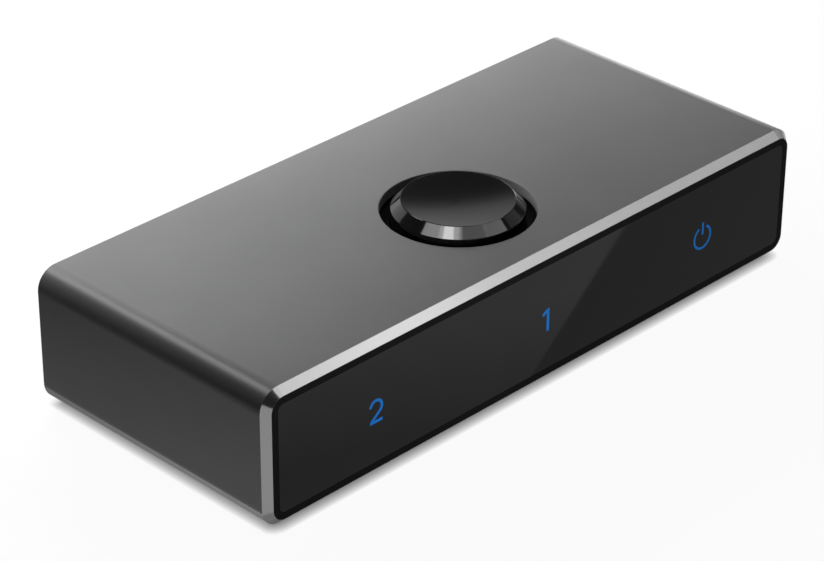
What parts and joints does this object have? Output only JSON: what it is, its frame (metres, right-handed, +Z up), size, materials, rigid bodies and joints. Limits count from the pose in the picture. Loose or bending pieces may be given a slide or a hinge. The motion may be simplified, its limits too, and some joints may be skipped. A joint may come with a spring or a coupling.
{
  "type": "hdmi switch box",
  "caption": "Slim dark grey aluminium video switch box with a smoked front window, a round dished push button on top and a row of video sockets at the rear.",
  "frame": {"origin": "on the floor under the middle of the sleeve, at the height of the feet's undersides", "axes": "+X to the right seen from the front, +Y from the front window towards the sockets, +Z up"},
  "size_m": [0.1, 0.0426, 0.0218],
  "materials": {
    "anodised_aluminium": "dark grey anodised, satin, with a bright cut chamfer at the front",
    "black_plastic": "moulded, fine matt texture",
    "smoked_acrylic": "polished dark tint",
    "gloss_black": "polished black",
    "plated_steel": "zinc plated",
    "white_plastic": "natural moulded",
    "chip_black": "moulded package",
    "board_green": "solder mask over glass laminate",
    "capacitor_tan": "fired body with tinned ends",
    "clear_acrylic": "frosted clear",
    "lamp_white": "white case with a clear lens",
    "shell_nickel": "nickel plated sheet",
    "tongue_black": "moulded insulator",
    "contact_gold": "gold plated",
    "foot_rubber": "matt self-adhesive pad"
  },
  "bodies": {
    "housing": {"housing_sleeve": "anodised_aluminium", "front_frame": "black_plastic", "front_window": "smoked_acrylic", "rear_panel": "black_plastic", "rear_screws": "plated_steel", "button_guide": "black_plastic", "switch_spring": "plated_steel", "switch_case": "chip_black", "switch_pins": "plated_steel", "main_board": "board_green", "video_chip": "chip_black", "regulator": "chip_black", "surge_arrays": "chip_black", "capacitors": "capacitor_tan", "light_guide_2": "clear_acrylic", "light_guide_1": "clear_acrylic", "light_guide_power": "clear_acrylic", "indicator_lamp_2": "lamp_white", "indicator_lamp_1": "lamp_white", "indicator_lamp_power": "lamp_white", "socket_shell_2": "shell_nickel", "socket_shell_1": "shell_nickel", "socket_shell_common": "shell_nickel", "socket_tongue_2": "tongue_black", "socket_tongue_1": "tongue_black", "socket_tongue_common": "tongue_black", "socket_contacts_2": "contact_gold", "socket_contacts_1": "contact_gold", "socket_contacts_common": "contact_gold", "rubber_foot_front_left": "foot_rubber", "rubber_foot_front_right": "foot_rubber", "rubber_foot_rear_left": "foot_rubber", "rubber_foot_rear_right": "foot_rubber"},
    "button": {"button_cap": "gloss_black", "switch_plunger": "white_plastic"}
  },
  "joints": [
    {"name": "button_press", "type": "slide", "parent": "housing", "child": "button", "axis": [0, 0, -1], "range_m": [0, 0.0015], "stiffness_N_per_m": 600, "springref_m": -0.0015, "deforming": ["switch_spring"]}
  ]
}
